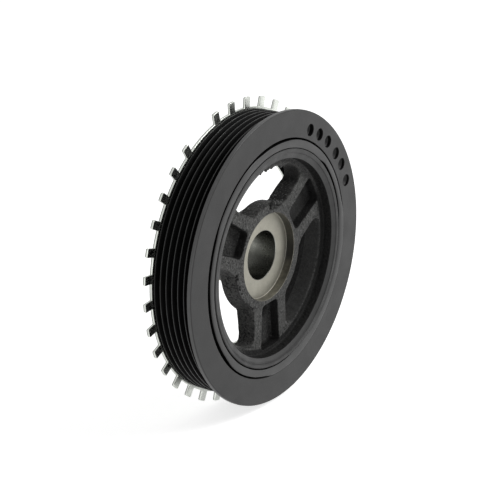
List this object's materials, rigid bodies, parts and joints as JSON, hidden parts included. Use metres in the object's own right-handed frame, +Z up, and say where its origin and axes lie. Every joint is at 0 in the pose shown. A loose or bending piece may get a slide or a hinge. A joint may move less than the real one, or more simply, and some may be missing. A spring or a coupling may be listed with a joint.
{
  "type": "harmonic balancer",
  "caption": "Crankshaft balancer wheel: a spoked, windowed hub inside a ribbed belt ring, joined by a bonded rubber ring, with a toothed timing ring behind.",
  "frame": {"origin": "on the bore axis, at the middle of the belt track", "axes": "+Y along the bore axis, out of the rear of the nose; the front face looks along -Y; +Z is up and +X is to the right seen from the front, as the part stands in the picture"},
  "size_m": [0.1634, 0.0385, 0.1634],
  "materials": {
    "hub_iron": "rough cast under a thin black coat, machined bright in the bore and on the bolt seat",
    "ring_paint": "satin black coat, matt in the grooves",
    "damping_rubber": "matt, dusted with the black coat at the front",
    "plate_steel": "bright stamped plate"
  },
  "bodies": {
    "root": {"hub": "hub_iron", "pulley_ring": "ring_paint", "damping_ring": "damping_rubber", "tone_ring": "plate_steel"}
  },
  "joints": []
}
